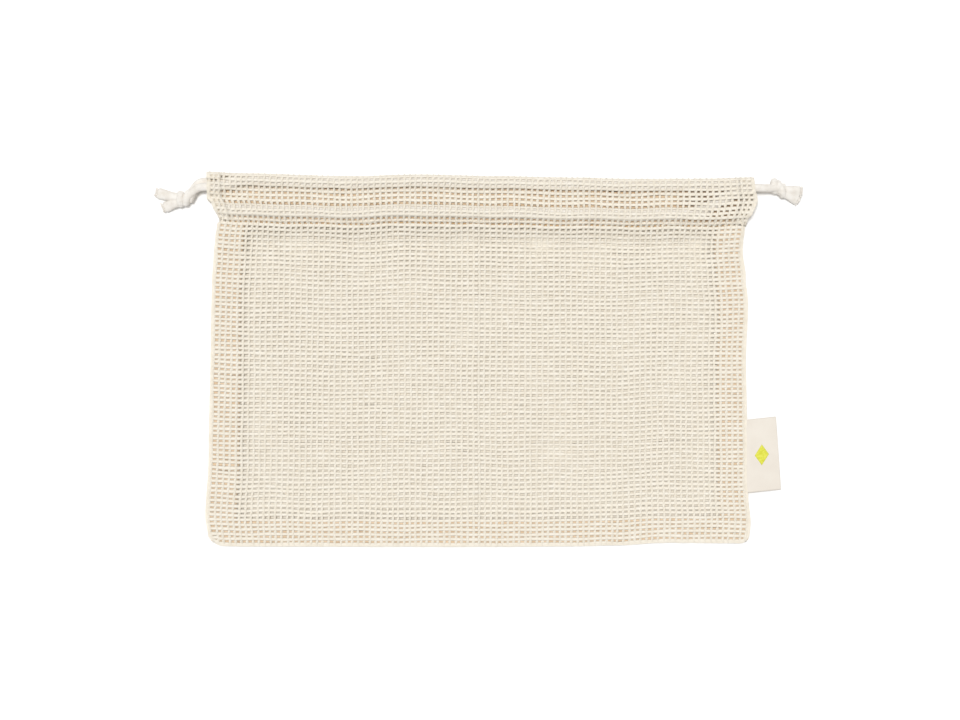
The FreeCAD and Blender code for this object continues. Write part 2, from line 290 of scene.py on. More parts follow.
def front_body(u, v):
    """The front cloth, from the bottom seam to just under the casing."""
    y = BOTTOM + v
    level = mix(STRIP_TOP, FRONT_BASE + LAYER, step(y, FOOT - FRONT_RISE, FOOT))
    sag = step(HALF_WIDTH - SIDE_STRIP - np.abs(u), SAG_START, SAG_FULL)
    sag = sag * step(y - BOTTOM - BOTTOM_STRIP, SAG_START, SAG_FULL)
    sag = sag * step(FOOT - y, 0, SAG_BELOW_CASING)
    z = mix(level, back_panel_top + LAYER + SAG_UNEVEN * SAG(u, y), sag)
    z = z + BUCKLE_HIGH * BUCKLE(u, y) * step(FOOT - y, 0, 6 * MM)
    under_casing = (1 - step(FOOT - y, 0, PLEAT_REACH)) * step(FOOT - y, 0, 5 * MM)
    z = z + PLEAT_HIGH * PLEATS(u, y * PLEAT_STRETCH) * under_casing
    z = mix(SEAM_MIDDLE, z, rim(u, y))
    x, y = settle(u, y)
    return np.stack([x, y, z], -1)


def back_body(u, v):
    """The back cloth, flat on the ground and drawn up to the sewn edges and to its casing."""
    y = BOTTOM + v
    level = mix(NET_HALF + GROUND_GAP, BACK_FOOT, step(y, FOOT - BACK_RISE, FOOT))
    z = mix(SEAM_MIDDLE, level, rim(u, y))
    x, y = settle(u, y)
    return np.stack([x, y, z], -1)


def seam_layer(depth):
    """A layer of a folded seam allowance, at a depth under the front cloth."""
    def surface(u, v):
        points = front_body(u, v)
        points[..., 2] -= depth * rim(u, BOTTOM + v)
        return points
    return surface


def lower_lane(x):
    """Y of the cord that lies low in the casing: the one that leaves on the right."""
    return mix(LANE_LOWER, RIGHT_EXIT, step(x, LOWER_BEND, HEM_END))


def upper_lane(x):
    """Y of the cord that lies high in the casing: the one that leaves on the left."""
    return mix(LANE_UPPER, LEFT_EXIT_FRONT, step(-x, UPPER_BEND, HEM_END))


def upper_lane_behind(x):
    """Y of the same cord in the back casing, where it leaves higher."""
    return mix(LANE_UPPER, LEFT_EXIT_BACK, step(-x, UPPER_BEND, HEM_END))


def ridge(distance, reach):
    """Height of cloth that lies over a cord, from 0 to 1."""
    return 1 / (1 + (distance / reach) ** 4)


def over_cords(u, y, reach):
    """How far a casing's outer cloth is held up, from 0 to 1: over the two cords, up to the fold
    at the mouth, and all the way between the cords where the lower one bends up to leave."""
    lower = ridge(y - lower_lane(u), reach)
    upper = ridge(y - upper_lane(u), reach)
    over = np.clip(lower + upper, 0, 1)
    over = np.maximum(over, step(y, LANE_UPPER - MM, LANE_UPPER))
    near_end = step(u, LOWER_BEND - 6 * MM, LOWER_BEND + 8 * MM)
    return np.maximum(over, near_end * step(y, LANE_LOWER - 6 * MM, LANE_LOWER - 2.5 * MM))


def casing_section(u, v, foot, tuck, reach):
    """A casing's cloth, from its foot over the cords, round the fold and back: (y, height). foot
    and tuck are the heights of its first and its last rows, which hold the cloth between them.
    reach is how far the cloth stays up beside a cord."""
    inner = NET_HALF
    crest = inner + 2 * FOLD_RADIUS
    y_outer = FOOT + v
    over = over_cords(u, y_outer, reach)
    raised = mix(inner + OUTER_SLACK, crest, over)
    z_outer = mix(foot, raised, step(y_outer, FOOT + 1 * MM, FOOT + 4.2 * MM))
    z_outer = z_outer + CASING_PLEAT_HIGH * PLEATS(u, y_outer * CASING_PLEAT_STRETCH) * (1 - over)
    angle = np.clip((v - OUTER) / FOLD_RADIUS, 0, math.pi)
    y_fold = MOUTH - FOLD_RADIUS + FOLD_RADIUS * np.sin(angle)
    z_fold = inner + FOLD_RADIUS + FOLD_RADIUS * np.cos(angle)
    y_inner = MOUTH - FOLD_RADIUS - (v - OUTER - FOLD)
    z_inner = mix(inner, tuck, 1 - step(y_inner, FOOT, FOOT + 3 * MM))
    y = np.where(v < OUTER, y_outer, np.where(v < OUTER + FOLD, y_fold, y_inner))
    z = np.where(v < OUTER, z_outer, np.where(v < OUTER + FOLD, z_fold, z_inner))
    return y, z


def swell_end(u, y, bulge):
    """Lets the mouth of a casing's end stand out where the cords turn."""
    beyond = step(np.abs(u) - CASING_END, -8 * MM, 8 * MM)
    return u + np.sign(u) * beyond * bulge * np.exp(-((y - SWELL_PLACE) / SWELL_REACH) ** 2)


def pinch_foot(u, y, z, level):
    """Draws the foot of a casing's end in and down to the sewn side of the bag."""
    low = 1 - step(y, FOOT, FOOT + 6 * MM)
    past = np.abs(u) - HALF_WIDTH
    drawn = u - np.sign(u) * low * PINCH * np.clip(past + 1 * MM, 0, None)
    return drawn, mix(z, level, low * step(past, -4 * MM, 1 * MM))


def front_casing(u, v):
    """The front casing, on top of the back one."""
    y, z = casing_section(u, v, NET_HALF + 0.75 * MM, NET_HALF - 1.3 * MM, 3.8 * MM)
    u = swell_end(u, y, 0.4 * MM)
    u, z = pinch_foot(u, y, FRONT_BASE + z, SEAM_MIDDLE + 1.4 * MM)
    x, y = settle(u, y)
    return np.stack([x, y, z], -1)


def back_casing(u, v):
    """The back casing, upside down, and a little lower at the mouth."""
    foot = CASING_THICK - BACK_FOOT
    y, z = casing_section(u, v, foot + 1 * MM, foot - 1 * MM, 5.5 * MM)
    u = swell_end(u, y, np.where(u > 0, 1, 0.8) * MM)
    u, z = pinch_foot(u, y, CASING_THICK - z, SEAM_MIDDLE - 1 * MM)
    x, y = settle(u, y)
    return np.stack([x, y - 0.4 * MM, z], -1)


def normal_of(surface, u, v):
    """The direction square to a surface."""
    reach = 0.2 * MM
    along = surface(u + reach, v) - surface(u - reach, v)
    up = surface(u, v + reach) - surface(u, v - reach)
    return unit(np.cross(along, up))


def lining(surface, depth):
    """The same cloth again, at a depth under it."""
    def lined(u, v):
        return surface(u, v) - depth * normal_of(surface, u, v)
    return lined


# Meshes

class Tubes:
    """Yarns or cords, as rows of points with half a width and half a height at each point."""

    def __init__(self, centres, hint, wide, high):
        along = unit(np.gradient(centres, axis=1))
        self.centres = centres
        self.side = unit(np.cross(np.broadcast_to(hint, centres.shape), along))
        self.up = np.cross(along, self.side)
        self.wide = np.broadcast_to(wide, centres.shape[:2])
        self.high = np.broadcast_to(high, centres.shape[:2])

    def cut(self, rows=slice(None), points=slice(None)):
        """Some of the rows, between some of the points."""
        piece = Tubes.__new__(Tubes)
        for name, values in vars(self).items():
            setattr(piece, name, values[rows][:, points])
        return piece

    def mesh(self, sides=6, bulge=1):
        """Closed tubes, as (points, quads, uvs, number of quads in the caps)."""
        count, length = self.centres.shape[:2]
        angle = 2 * math.pi * np.arange(sides) / sides
        cosine = (self.wide[..., None] * np.cos(angle) * bulge)[..., None]
        sine = (self.high[..., None] * np.sin(angle) * bulge)[..., None]
        points = self.centres[:, :, None] + self.side[:, :, None] * cosine
        points = points + self.up[:, :, None] * sine
        row, ring, spoke = np.meshgrid(np.arange(count), np.arange(length - 1), np.arange(sides),
                                       indexing="ij")
        first = (row * length + ring) * sides
        after = (spoke + 1) % sides
        wall = np.stack([first + spoke, first + after, first + sides + after,
                         first + sides + spoke], -1)
        band = (row + 0.1 + 0.8 * spoke / sides) / count
        band_after = (row + 0.1 + 0.8 * (spoke + 1) / sides) / count
        low, high = ring / (length - 1), (ring + 1) / (length - 1)
        uvs = np.stack([low, band, low, band_after, high, band_after, high, band], -1)
        start = np.arange(count)[:, None] * length * sides
        fans = [(0, k, k + 1, k + 2) for k in range(1, sides - 1, 2)]
        caps = [start + np.array(fan[::-1]) for fan in fans]
        caps += [start + (length - 1) * sides + np.array(fan) for fan in fans]
        caps = np.concatenate(caps)
        quads = np.concatenate([wall.reshape(-1, 4), caps])
        uvs = np.concatenate([uvs.reshape(-1, 4, 2), np.full((len(caps), 4, 2), 0.5 / count)])
        return points.reshape(-1, 3), quads, uvs, len(caps)


def add_piece(name, parts, material):
    """One object from parts as Tubes.mesh gives them. The caps are flat and the rest is smooth.
    The map lays the parts side by side, so that a bake needs no unwrapping."""
    base = 0
    all_points, all_quads, all_uvs, all_smooth = [], [], [], []
    for n, (points, quads, uvs, caps) in enumerate(parts):
        all_points.append(points)
        all_quads.append(quads + base)
        all_uvs.append(np.stack([uvs[..., 0], (uvs[..., 1] + n) / len(parts)], -1))
        all_smooth.append(np.arange(len(quads)) < len(quads) - caps)
        base += len(points)
    points = np.concatenate(all_points)
    quads = np.concatenate(all_quads)
    mesh = bpy.data.meshes.new(name)
    mesh.vertices.add(len(points))
    mesh.vertices.foreach_set("co", points.astype(np.float32).ravel())
    mesh.loops.add(quads.size)
    mesh.loops.foreach_set("vertex_index", quads.astype(np.int32).ravel())
    mesh.polygons.add(len(quads))
    mesh.polygons.foreach_set("loop_start", np.arange(0, quads.size, 4, dtype=np.int32))
    mesh.polygons.foreach_set("use_smooth", np.concatenate(all_smooth))
    layer = mesh.uv_layers.new(name="OFBake")
    layer.data.foreach_set("uv", np.concatenate(all_uvs).astype(np.float32).ravel())
    mesh.update(calc_edges=True)
    mesh.materials.append(material)
    piece = bpy.data.objects.new(name, mesh)
    bpy.context.scene.collection.objects.link(piece)
    return piece


def stand_for(node):
    """Hides the node's CAD part, whose place the piece takes."""
    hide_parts(node)


def word(side):
    return "right" if side > 0 else "left"


def gather(piece, side):
    """Bakes the piece's place into its mesh, and reads its points."""
    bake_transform(piece)
    co = np.zeros(len(piece.data.vertices) * 3, np.float32)
    piece.data.vertices.foreach_get("co", co)


# The net

def grid(low, high, pitch):
    """Places from low to high with two steps to a pitch: yarns cross at every odd one. The number
    of crossings is odd too, so that one lies in the middle."""
    crossings = 2 * int((high - low) / pitch / 2) + 1
    return np.linspace(low, high, 2 * crossings + 1)


def uneven(shape, size, steps):
    """A slow random change along each row of shape, of about this size: four waves, each some
    steps long, and a different level for each row."""
    count, length = shape
    total = np.zeros(shape)
    for _ in range(4):
        number = 2 * math.pi / (steps * random.uniform(0.4, 2, (count, 1)))
        total += np.sin(number * np.arange(length) + random.uniform(0, 2 * math.pi, (count, 1)))
    return size * (total / 2 + random.normal(0, 0.5, (count, 1)))


def weave_weft(surface, u_range, v_range):
    """Single yarns along u, each a little wider between the warp pairs."""
    u = grid(*u_range, PITCH_X)[None]
    v = grid(*v_range, PITCH_Y)[1::2, None]
    shape = (v.shape[0], u.shape[1])
    u = np.broadcast_to(u, shape)
    v = v + uneven(shape, WEFT_STRAY, 24)
    plump = 1 - PLUMP * np.cos(math.pi * (np.arange(shape[1]) + 1))
    swell = (1 + uneven(shape, WEFT_UNEVEN, 9)) * plump
    return Tubes(surface(u, v), normal_of(surface, u, v), WEFT_WIDE * swell, WEFT_HIGH * swell)


def weave_warp(surface, u_range, v_range):
    """Twisted pairs along v. Each yarn of a pair goes over one row and under the next."""
    u = grid(*u_range, PITCH_X)[1::2, None]
    v = grid(*v_range, PITCH_Y)[None]
    shape = (u.shape[0], v.shape[1])
    u = u + uneven(shape, WARP_STRAY, 30)
    v = np.broadcast_to(v, shape)
    base, normal = surface(u, v), normal_of(surface, u, v)
    side = unit(np.cross(normal, np.gradient(base, axis=1)))
    turn = math.pi / 2 * (np.arange(shape[1]) - 1)
    pair = []
    for half in (0, math.pi):
        lift = (WEFT_HIGH + WARP_HIGH) * NESTLE * np.cos(turn + half)
        shift = TWIST * np.sin(turn + half)
        centres = base + normal * lift[:, None] + side * shift[:, None]
        swell = 1 + uneven(shape, WARP_UNEVEN, 9)
        pair.append(Tubes(centres, normal, WARP_WIDE * swell, WARP_HIGH * swell))
    return pair


def net_patch(surface, u_range, v_range, spare=0):
    """All the yarns of a small piece of net, less its last spare rows, as parts for add_piece."""
    weft = weave_weft(surface, u_range, v_range)
    kept = slice(0, len(weft.centres) - spare)
    kept_points = slice(0, 2 * kept.stop + 1)
    warp = [yarns.cut(points=kept_points) for yarns in weave_warp(surface, u_range, v_range)]
    return [yarns.mesh() for yarns in [weft.cut(rows=kept)] + warp]


# Materials. Each cotton has a shade, a tone and a light, which it drifts between.

NET_TONES = ((0.805, 0.74, 0.625), (0.84, 0.78, 0.67), (0.87, 0.82, 0.725))
# The seam tones are painted warm shade: a deep orange that stands in for light caught between the
# folded layers.
SEAM_PAINTED_SHADE_TONES = ((0.72, 0.53, 0.34), (0.77, 0.59, 0.4), (0.82, 0.66, 0.48))
CORD_TONES = ((0.74, 0.69, 0.62), (0.82, 0.78, 0.72), (0.88, 0.85, 0.8))
THREAD_TONES = ((0.8, 0.73, 0.61), (0.87, 0.81, 0.71), (0.91, 0.87, 0.79))
TAPE_TONES = ((0.74, 0.68, 0.6), (0.78, 0.725, 0.645))
INK_TONES = ((0.6, 0.6, 0.03), (0.76, 0.75, 0.1))
FLOOR_TONES = ((0.93, 0.93, 0.93), (0.95, 0.95, 0.95))
# Painted warm shade, multiplied into the casings' net cotton between their layers
PAINTED_SHADE_TINT = (0.86, 0.62, 0.38, 1)
NET_GRAIN = 330
FIBRES = 5200
WEAVE_RELIEF = 0.1 * MM
FIBRE_RELIEF = 0.12 * MM


def new_material(name):
    material = bpy.data.materials.new(name)
    material.use_nodes = True
    nodes = material.node_tree.nodes
    return material, nodes, material.node_tree.links, nodes["Principled BSDF"]


def object_place(nodes):
    """The place on the object, in metres."""
    return nodes.new("ShaderNodeTexCoord").outputs["Object"]


def noise(nodes, links, scale, detail=3.0):
    """Fine noise fixed to the object."""
    texture = nodes.new("ShaderNodeTexNoise")
    texture.inputs["Scale"].default_value = scale
    texture.inputs["Detail"].default_value = detail
    links.new(object_place(nodes), texture.inputs["Vector"])
    return texture.outputs["Fac"]


def ramp(nodes, links, value, places, colours):
    """Colours along a value."""
    node = nodes.new("ShaderNodeValToRGB")
    elements = node.color_ramp.elements
    while len(elements) < len(places):
        elements.new(0.5)
    for element, place, colour in zip(elements, places, colours):
        element.position = place
        element.color = (*colour, 1)
    links.new(value, node.inputs["Fac"])
    return node.outputs["Color"]


def between(nodes, links, value, start, end):
    """0 where a value is at start and 1 where it is at end."""
    node = nodes.new("ShaderNodeMapRange")
    node.inputs["From Min"].default_value = start
    node.inputs["From Max"].default_value = end
    links.new(value, node.inputs["Value"])
    return node.outputs["Result"]


def relief(nodes, links, shader, height, strength, distance):
    """Raises the surface by a height."""
    bump = nodes.new("ShaderNodeBump")
    bump.inputs["Strength"].default_value = strength
    bump.inputs["Distance"].default_value = distance
    links.new(height, bump.inputs["Height"])
    links.new(bump.outputs["Normal"], shader.inputs["Normal"])


def cotton(name, tones, grain):
    """Matt cotton whose tone drifts along the yarn, with fine fibres that stand up."""
    material, nodes, links, shader = new_material(name)
    drift = ramp(nodes, links, noise(nodes, links, grain, 5), (0.28, 0.5, 0.72), tones)
    links.new(drift, shader.inputs["Base Color"])
    relief(nodes, links, shader, noise(nodes, links, FIBRES), 0.4, FIBRE_RELIEF)
    shader.inputs["Roughness"].default_value = 0.92
    shader.inputs["Specular IOR Level"].default_value = 0.2
    shader.inputs["Sheen Weight"].default_value = 0.2
    shader.inputs["Sheen Roughness"].default_value = 0.6
    return material


def painted_warm_shade(name, middle, reach):
    """Net cotton with painted warm shade near a height, which stands in for light caught between
    the layers. It keeps its own colour near the mouth, which is open."""
    material = cotton(name, NET_TONES, NET_GRAIN)
    nodes, links = material.node_tree.nodes, material.node_tree.links
    colour = nodes["Principled BSDF"].inputs["Base Color"]
    split = nodes.new("ShaderNodeSeparateXYZ")
    links.new(object_place(nodes), split.inputs["Vector"])
    away = nodes.new("ShaderNodeMath")
    away.operation = "SUBTRACT"
    away.inputs[1].default_value = middle
    links.new(split.outputs["Z"], away.inputs[0])
    distance = nodes.new("ShaderNodeMath")
    distance.operation = "ABSOLUTE"
    links.new(away.outputs["Value"], distance.inputs[0])
    amount = nodes.new("ShaderNodeMath")
    amount.operation = "MULTIPLY"
    deep = between(nodes, links, distance.outputs["Value"], reach, reach * 0.6)
    covered = between(nodes, links, split.outputs["Y"], MOUTH - 6 * MM, MOUTH - 10 * MM)
    links.new(deep, amount.inputs[0])
    links.new(covered, amount.inputs[1])
    # Multiplies the painted warm shade into the cotton's colour.
    shade_mix = nodes.new("ShaderNodeMixRGB")
    shade_mix.blend_type = "MULTIPLY"
    shade_mix.inputs["Color2"].default_value = PAINTED_SHADE_TINT
    links.new(amount.outputs["Value"], shade_mix.inputs["Fac"])
    links.new(colour.links[0].from_socket, shade_mix.inputs["Color1"])
    links.new(shade_mix.outputs["Color"], colour)
    return material


def tape_weave():
    """Woven tape: fine ribs and a slightly uneven tone."""
    material, nodes, links, shader = new_material("label_tape")
    drift = ramp(nodes, links, noise(nodes, links, 90), (0.3, 0.7), TAPE_TONES)
    links.new(drift, shader.inputs["Base Color"])
    ribs = nodes.new("ShaderNodeTexWave")
    ribs.inputs["Scale"].default_value = 420
    ribs.inputs["Distortion"].default_value = 0.6
    links.new(object_place(nodes), ribs.inputs["Vector"])
    relief(nodes, links, shader, ribs.outputs["Fac"], 0.3, WEAVE_RELIEF)
    shader.inputs["Roughness"].default_value = 0.85
    shader.inputs["Sheen Weight"].default_value = 0.15
    return material


def woven_ink():
    """Yellow-green print that sinks into the tape's weave."""
    material, nodes, links, shader = new_material("label_ink")
    drift = ramp(nodes, links, noise(nodes, links, 900), (0.3, 0.7), INK_TONES)
    links.new(drift, shader.inputs["Base Color"])
    relief(nodes, links, shader, noise(nodes, links, 2500), 0.3, WEAVE_RELIEF)
    shader.inputs["Roughness"].default_value = 0.8
    return material


net_cotton = cotton("net_cotton", NET_TONES, NET_GRAIN)
# The seams' net is coloured with painted warm shade.
seam_cotton_painted_shade = cotton("seam_cotton_painted_shade", SEAM_PAINTED_SHADE_TONES, NET_GRAIN)
# The casing net carries painted warm shade between its layers.
casing_cotton = painted_warm_shade("casing_cotton", (FRONT_BASE + CASING_THICK) / 2, 1.7 * MM)
cord_cotton = cotton("cord_cotton", CORD_TONES, 260)
thread_cotton = cotton("thread_cotton", THREAD_TONES, 300)


# The cloths

def make_cloth(name, node, surface, reach, v_range, material):
    """A cloth in two halves: a weft piece and a warp piece for each."""
    u_range = (-reach, reach)
    weft = weave_weft(surface, u_range, v_range)
    warp = weave_warp(surface, u_range, v_range)
    middle = weft.centres.shape[1] // 2
    columns = len(warp[0].centres) // 2
    halves = {-1: (slice(0, middle + 1), slice(0, columns)),
              1: (slice(middle, None), slice(columns, None))}
    for side, (points, rows) in halves.items():
        yarns = {"weft": [weft.cut(points=points)], "warp": [pair.cut(rows=rows) for pair in warp]}
        for kind, tubes in yarns.items():
            parts = [tube.mesh() for tube in tubes]
            piece = add_piece(f"{name}_{kind}_{word(side)}", parts, material)
            gather(piece, side)
            stand_for(node)


def edge_yarns(surface, u, v):
    """Yarns that lie close together along a sewn edge, as parts for add_piece."""
    width = EDGE_YARN * (1 + uneven(u.shape, EDGE_UNEVEN, 7))
    return [Tubes(surface(u, v), normal_of(surface, u, v), width, width).mesh()]


def add_sewn(node, net, edge, material, hold):
    """A seam or a hem: its net, and the yarns along its edge. hold is called on each piece."""
    for name, parts, cloth in (("net", net, material), ("edge", edge, net_cotton)):
        piece = add_piece(f"{node}_{name}", parts, cloth)
        hold(piece)
        stand_for(node)


def make_side_seam(side):
    """Two folded layers between the cloths, along one side."""
    outer = side * HALF_WIDTH
    inner = side * (HALF_WIDTH - STRIP_COLUMNS * PITCH_X)
    v_range = (PITCH_Y / 2, (ROWS - 1.5) * PITCH_Y)
    net = []
    for depth in SEAM_DEPTHS:
        net += net_patch(seam_layer(depth), (min(outer, inner), max(outer, inner)), v_range)
    v, inset = np.meshgrid(np.arange(0, FOOT - BOTTOM, EDGE_STEP), EDGE_INSETS)
    edge = []
    for surface in (front_body, back_body):
        edge += edge_yarns(surface, side * (HALF_WIDTH - inset), np.maximum(v, inset))
    add_sewn(f"{word(side)}_side_seam", net, edge, seam_cotton_painted_shade, lambda piece: gather(piece, side))


def make_bottom_seam():
    """Two folded layers between the cloths, along the bottom."""
    reach = HALF_WIDTH - STRIP_COLUMNS * PITCH_X
    v_range = (PITCH_Y / 2, (STRIP_ROWS + 0.5) * PITCH_Y)
    net = []
    for depth in SEAM_DEPTHS:
        net += net_patch(seam_layer(depth), (-reach, reach), v_range)
    u, inset = np.meshgrid(np.arange(-HALF_WIDTH, HALF_WIDTH, EDGE_STEP), EDGE_INSETS)
    edge = []
    for surface in (front_body, back_body):
        edge += edge_yarns(surface, np.clip(u, inset - HALF_WIDTH, HALF_WIDTH - inset), inset)
    add_sewn("bottom_seam", net, edge, seam_cotton_painted_shade, lambda piece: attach(piece, "bag"))


def make_hem(place, surface, outward, side):
    """A casing's folded end: two layers of net, drawn in with that end of the mouth. outward is 1
    where the casing's outside faces up and -1 where it faces down."""
    u_range = (CASING_END, HEM_END) if side > 0 else (-HEM_END, -CASING_END)
    v_range = (0, CASING_LENGTH)
    net = net_patch(surface, u_range, v_range, spare=1)
    net += net_patch(lining(surface, outward * LINING_DEPTH), u_range, v_range, spare=1)
    v, inset = np.meshgrid(np.arange(0, 2 * OUTER + FOLD, HEM_STEP), EDGE_INSETS)
    edge = edge_yarns(surface, side * (HEM_END - inset), v)
    add_sewn(f"{place}_casing_{word(side)}_hem", net, edge, net_cotton,
             lambda piece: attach(piece, f"{word(-side)}_drawstring"))


STITCH_PITCH = 3.2 * MM
STITCH_LENGTH = 2.6 * MM
STITCH_HEIGHT = 1.4 * MM
STITCH_START = 1.2 * MM
STITCH_END = CASING_END - 3.5 * MM
THREAD_RADIUS = 0.28 * MM


def make_stitching(place, surface, outward):
    """A row of stitches along a casing's foot, in two halves."""
    node = f"{place}_casing_stitching"
    starts = np.arange(STITCH_START, STITCH_END, STITCH_PITCH)[:, None]
    t = np.linspace(0, 1, 9)
    arch = np.sin(math.pi * t)
    lift = outward * NET_HALF * (0.75 + 0.5 * arch)
    thick = THREAD_RADIUS * (0.4 + 0.6 * arch ** 0.5)
    for side in (-1, 1):
        u = side * (starts + STITCH_LENGTH * t)
        v = np.full_like(u, STITCH_HEIGHT)
        normal = normal_of(surface, u, v)
        stitches = Tubes(surface(u, v) + normal * lift[:, None], normal, thick, thick)
        piece = add_piece(f"{node}_{word(side)}", [stitches.mesh()], thread_cotton)
        gather(piece, side)
        stand_for(node)


# The cords

def lengths_along(path):
    """How far each point of a path is from its start."""
    return np.concatenate([[0], np.cumsum(np.linalg.norm(np.diff(path, axis=0), axis=1))])


def even_path(knots, spacing=0.5 * MM):
    """A smooth path through a few points, as evenly spaced points."""
    knots = np.array(knots, float)
    padded = np.concatenate([[2 * knots[0] - knots[1]], knots, [2 * knots[-1] - knots[-2]]])
    t = np.linspace(0, 1, 40, endpoint=False)[:, None]
    fine = []
    for a, b, c, d in zip(padded, padded[1:], padded[2:], padded[3:]):
        fine.append(0.5 * (2 * b + (c - a) * t + (2 * a - 5 * b + 4 * c - d) * t ** 2
                           + (3 * b - a - 3 * c + d) * t ** 3))
    fine = np.concatenate(fine + [knots[-1:]])
    place = lengths_along(fine)
    wanted = np.linspace(0, place[-1], max(int(place[-1] / spacing), 6))
    return np.stack([np.interp(wanted, place, fine[:, k]) for k in range(3)], -1)


def braided(path, wide, high, hint, sides=24):
    """A cord along a path, with the low relief of its braid."""
    angle = 2 * math.pi * np.arange(sides) / sides
    turn = 2 * math.pi * lengths_along(path)[:, None] / BRAID_PITCH
    bulge = 1 + BRAID_DEPTH * np.cos(4 * angle + turn) * np.cos(4 * angle - turn)
    return Tubes(path[None], point(*hint), wide, high).mesh(sides, bulge)


def knot_centre(side):
    name = f"{word(side)}_knot_swing"
    return point(*next(j["pos_m"] for j in frame["joints"] if j["name"] == name))


STRAND_GAP = 2.1 * MM
CORD_STEP = 0.6 * MM


def cord_run(side, knot, lane, level, lift):
    """Points of one run of a cord, from its knot to the far end of the mouth."""
    x = np.linspace(side * HEM_END, -side * TURN, 36)
    inside = np.stack([*settle(x, lane(x)), np.full_like(x, level)], -1)
    free = knot + np.array([(side * 2 * MM, 0, lift), (0, 0, lift)])
    halfway = mix(free[-1], inside[0], np.array([0.5, 0.85, 0.6]))
    return np.concatenate([free, [halfway], inside])


def make_cord(side):
    """One cord: knot, front casing, round the far end of the mouth, back casing, knot."""
    knot = knot_centre(side)
    lane, lane_behind = (lower_lane, lower_lane) if side > 0 else (upper_lane, upper_lane_behind)
    front = cord_run(side, knot, lane, FRONT_BASE + CASING_THICK / 2, STRAND_GAP)
    back = cord_run(side, knot, lane_behind, CASING_THICK / 2, -STRAND_GAP)
    radius = (front[-1] - back[-1])[2] / 2
    turn = [mix(front[-1], back[-1], (1 - math.cos(a)) / 2) - (side * radius * math.sin(a), 0, 0)
            for a in np.linspace(0, math.pi, 7)[1:-1]]
    path = even_path(np.concatenate([front, turn, back[::-1]]), CORD_STEP)
    pressed = step(HEM_END - np.abs(path[:, 0]), -2 * MM, 8 * MM)
    part = braided(path, mix(CORD_RADIUS, PRESSED_WIDE, pressed),
                   mix(CORD_RADIUS, PRESSED_HIGH, pressed), (0, 0, 1))
    piece = add_piece(f"{word(side)}_cord_braid", [part], cord_cotton)
    f"{word(side)}_drawstring"
    f"{word(side)}_knot"
    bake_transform(piece)
    stand_for(f"{word(side)}_cord")


# The knots. Places are plan ones, in millimetres from the knot's middle: a wrap has its centre,
# tilt and radius, and a tail is a path.
KNOTS = {
    -1: {"wraps": ((-3.4, -0.5, 0, 2.6), (0.4, 0.2, -0.3, 2.7), (3, 1.4, -0.5, 1.6)),
         "tails": (((-3, 0.6), (-9, 1.2), (-16, 3)), ((-3, -2.4), (-7.5, -3.2), (-12.2, -4.9)))},
    1: {"wraps": ((-0.8, 1.1, -0.1, 2.4), (1.6, 0.2, -0.25, 2.2), (3.2, -1.4, -0.25, 2.1)),
        "tails": (((3, -0.8), (8, -1.2), (13.2, -1.6)), ((3, -2.6), (7.5, -4), (11.8, -6.2)))},
}
CORE_PLACES = (-3.4, -1, 2.5, 5)
CORE_RADIUS = 2.6 * MM
FRAYED = 40
FRAY_TURN = 2 * math.pi * 0.382
FRAY_RADIUS = 0.32 * MM
FRAY_WIDE = 2.1 * MM
FRAY_HIGH = 1.2 * MM
FRAY_ROOT = 1.5 * MM


def wrap(centre, side, tilt, radius):
    """One turn of cord round the knot's core. tilt leans it along the cord."""
    angle = np.linspace(-math.pi / 2, 1.5 * math.pi + 0.3, 76)
    ring = centre + np.stack([side * radius * tilt * np.cos(angle), radius * np.cos(angle),
                              radius * 0.85 * np.sin(angle)], -1)
    return braided(ring, CORD_RADIUS, CORD_RADIUS * 0.95, (side, 0, 0), sides=20)


def fray(end, direction):
    """Loose yarns that fan out of a cut cord."""
    across = point(-direction[1], direction[0], 0)
    parts = []
    for n in range(FRAYED):
        angle = FRAY_TURN * n
        spread = math.sqrt((n + 0.5) / FRAYED)
        offset = across * math.cos(angle) * FRAY_WIDE + point(0, 0, math.sin(angle) * FRAY_HIGH)
        offset = offset * spread
        reach = random.uniform(0.7, 2) * MM
        path = even_path([end - direction * FRAY_ROOT + offset * 0.8,
                          end + direction * reach * 0.4 + offset,
                          end + direction * reach + offset * random.uniform(1.1, 1.6)], 0.3 * MM)
        parts.append(Tubes(path[None], point(0.1, 0.2, 1), FRAY_RADIUS, FRAY_RADIUS).mesh())
    return parts


def make_tail(knot, points):
    """A loose end of cord that leaves the knot, lies down on the ground and ends in a brush."""
    low = CORD_RADIUS + 0.5 * MM - knot[2]
    levels = mix(0.8 * MM, low, np.linspace(0, 1, len(points)))
    path = knot + even_path([(x * MM, y * MM, z) for (x, y), z in zip(points, levels)])
    direction = unit((path[-1] - path[-4]) * (1, 1, 0))
    grow = 1 + 0.4 * smooth(np.linspace(0, 1, len(path)))
    tail = braided(path, CORD_RADIUS * grow, CORD_RADIUS * 0.85, (0, 0, 1))
    return [tail] + fray(path[-1], direction)


def make_knot(side, wraps, tails):
    """Turns of cord over the doubled strands, and two loose tails."""
    knot = knot_centre(side)
    core = even_path([knot + (x * side * MM, 0, 0) for x in CORE_PLACES])
    parts = [braided(core, CORE_RADIUS, CORE_RADIUS, (0, 0, 1))]
    for x, y, tilt, radius in wraps:
        parts.append(wrap(knot + (x * MM, y * MM, 0), side, tilt, radius * MM))
    for points in tails:
        parts += make_tail(knot, points)
    piece = add_piece(f"{word(side)}_knot_tied", parts, cord_cotton)
    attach(piece, f"{word(side)}_knot")
    stand_for(f"{word(side)}_knot")


# The label

TAPE_THICK = 0.38 * MM
TAPE_GAP = 0.12 * MM
TAPE_MIDDLE = (label_low.z + label_high.z) / 2
TAPE_ROOT = HALF_WIDTH - 1.2 * MM
TAPE_TIP = label_high.x + 0.4 * MM
TAPE_TAPER = 2.9 * MM
TAPE_RINGS = 50
PRINT_THICK = 0.09 * MM
PRINT_POINTS = 13


